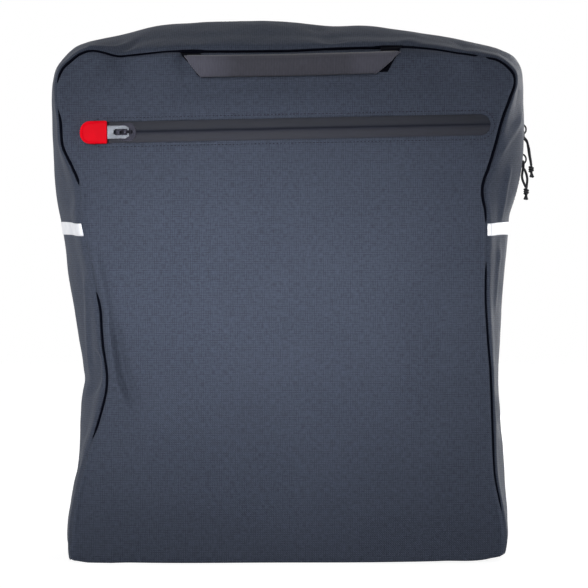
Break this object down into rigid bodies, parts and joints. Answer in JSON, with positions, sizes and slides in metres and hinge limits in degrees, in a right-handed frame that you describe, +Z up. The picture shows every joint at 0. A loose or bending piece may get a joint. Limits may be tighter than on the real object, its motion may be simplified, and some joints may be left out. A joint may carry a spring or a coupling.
{
  "type": "bike front bag",
  "caption": "Upright woven fabric bag for a bicycle's front rack: coated front pocket zip, arched main zip, folded webbing grab handle, reflective side strips and sprung rack hooks behind.",
  "frame": {"origin": "centre of the flat base, on the surface that the bag stands on", "axes": "+Z up, -Y out of the front panel, +X to the right of someone who looks at the front"},
  "size_m": [0.3543, 0.1863, 0.391],
  "materials": {
    "panel_fabric": "woven, matte",
    "gusset_fabric": "woven, matte",
    "reflective_tape": "smooth, reflective",
    "binding_tape": "woven, matte",
    "board_plastic": "smooth",
    "coated_tape": "coated, slight sheen",
    "zip_plastic": "moulded",
    "slider_steel": "plated",
    "black_steel": "satin",
    "red_rubber": "moulded, satin",
    "lining_cloth": "woven, matte",
    "cordage": "braided",
    "handle_webbing": "ribbed webbing",
    "fitting_plastic": "moulded",
    "latch_plastic": "moulded",
    "zinc_steel": "zinc plated"
  },
  "bodies": {
    "bag": {"front_panel": "panel_fabric", "back_panel": "panel_fabric", "upper_gusset_front": "gusset_fabric", "upper_gusset_back": "gusset_fabric", "side_gusset_left": "gusset_fabric", "side_gusset_right": "gusset_fabric", "base_panel": "gusset_fabric", "reflective_strip_left": "reflective_tape", "reflective_strip_right": "reflective_tape", "front_seam_binding": "binding_tape", "back_seam_binding": "binding_tape", "back_board": "board_plastic", "base_board": "board_plastic", "pocket_tape_upper": "coated_tape", "pocket_tape_lower": "coated_tape", "pocket_teeth_upper": "zip_plastic", "pocket_teeth_lower": "zip_plastic", "pocket_stop_left": "slider_steel", "pocket_stop_right": "slider_steel", "pocket_back_wall": "lining_cloth", "main_tape_front": "coated_tape", "main_tape_back": "coated_tape", "main_coil_front": "zip_plastic", "main_coil_back": "zip_plastic", "main_stop_left": "black_steel", "main_stop_right": "black_steel", "hook_rail": "fitting_plastic", "lower_rail": "fitting_plastic", "swivel_screw": "zinc_steel", "rail_screw_1": "zinc_steel", "rail_screw_2": "zinc_steel", "rail_screw_3": "zinc_steel", "rail_screw_4": "zinc_steel", "lower_screw_1": "zinc_steel", "lower_screw_2": "zinc_steel"},
    "pocket_slider": {"pocket_slider": "slider_steel"},
    "pocket_pull": {"pocket_pull": "slider_steel", "pocket_pull_tab": "red_rubber"},
    "main_slider_upper": {"main_slider_upper": "black_steel", "pull_cord_upper": "cordage", "cord_knot_upper": "cordage"},
    "main_slider_lower": {"main_slider_lower": "black_steel", "pull_cord_lower": "cordage", "cord_knot_lower": "cordage"},
    "handle": {"handle_webbing": "handle_webbing"},
    "hook_left": {"hook_left": "fitting_plastic"},
    "hook_right": {"hook_right": "fitting_plastic"},
    "latch_left": {"latch_left": "latch_plastic"},
    "latch_right": {"latch_right": "latch_plastic"},
    "lower_hook": {"lower_hook": "fitting_plastic"}
  },
  "joints": [
    {"name": "pocket_zip_slide", "type": "slide", "parent": "bag", "child": "pocket_slider", "axis": [0.9998, 0, 0.0209], "range_m": [0, 0.244]},
    {"name": "pocket_pull_swing", "type": "hinge", "parent": "pocket_slider", "child": "pocket_pull", "pos_m": [-0.11364, -0.0664, 0.30627], "axis": [-0.0209, 0, 0.9998], "range_deg": [0, 165]},
    {"name": "upper_slider_slide", "type": "slide", "parent": "bag", "child": "main_slider_upper", "axis": [0, 0, 1], "range_m": [0, 0.026]},
    {"name": "lower_slider_slide", "type": "slide", "parent": "bag", "child": "main_slider_lower", "axis": [0, 0, 1], "range_m": [-0.014, 0]},
    {"name": "handle_swing", "type": "hinge", "parent": "bag", "child": "handle", "pos_m": [0.00052, -0.0662, 0.36586], "axis": [-0.9998, 0, -0.0209], "range_deg": [0, 170]},
    {"name": "hook_left_slide", "type": "slide", "parent": "bag", "child": "hook_left", "axis": [1, 0, 0], "range_m": [-0.03, 0.03]},
    {"name": "hook_right_slide", "type": "slide", "parent": "bag", "child": "hook_right", "axis": [1, 0, 0], "range_m": [-0.03, 0.03]},
    {"name": "latch_left_swing", "type": "hinge", "parent": "hook_left", "child": "latch_left", "pos_m": [-0.075, 0.0772, 0.3015], "axis": [-1, 0, 0], "range_deg": [0, 65], "stiffness_Nm_per_rad": 0.004, "springref_deg": -20.05},
    {"name": "latch_right_swing", "type": "hinge", "parent": "hook_right", "child": "latch_right", "pos_m": [0.075, 0.0772, 0.3015], "axis": [-1, 0, 0], "range_deg": [0, 65], "stiffness_Nm_per_rad": 0.004, "springref_deg": -20.05},
    {"name": "lower_hook_swivel", "type": "hinge", "parent": "bag", "child": "lower_hook", "pos_m": [0, 0.0706, 0.085], "axis": [0, 1, 0], "range_deg": [-90, 90]}
  ]
}
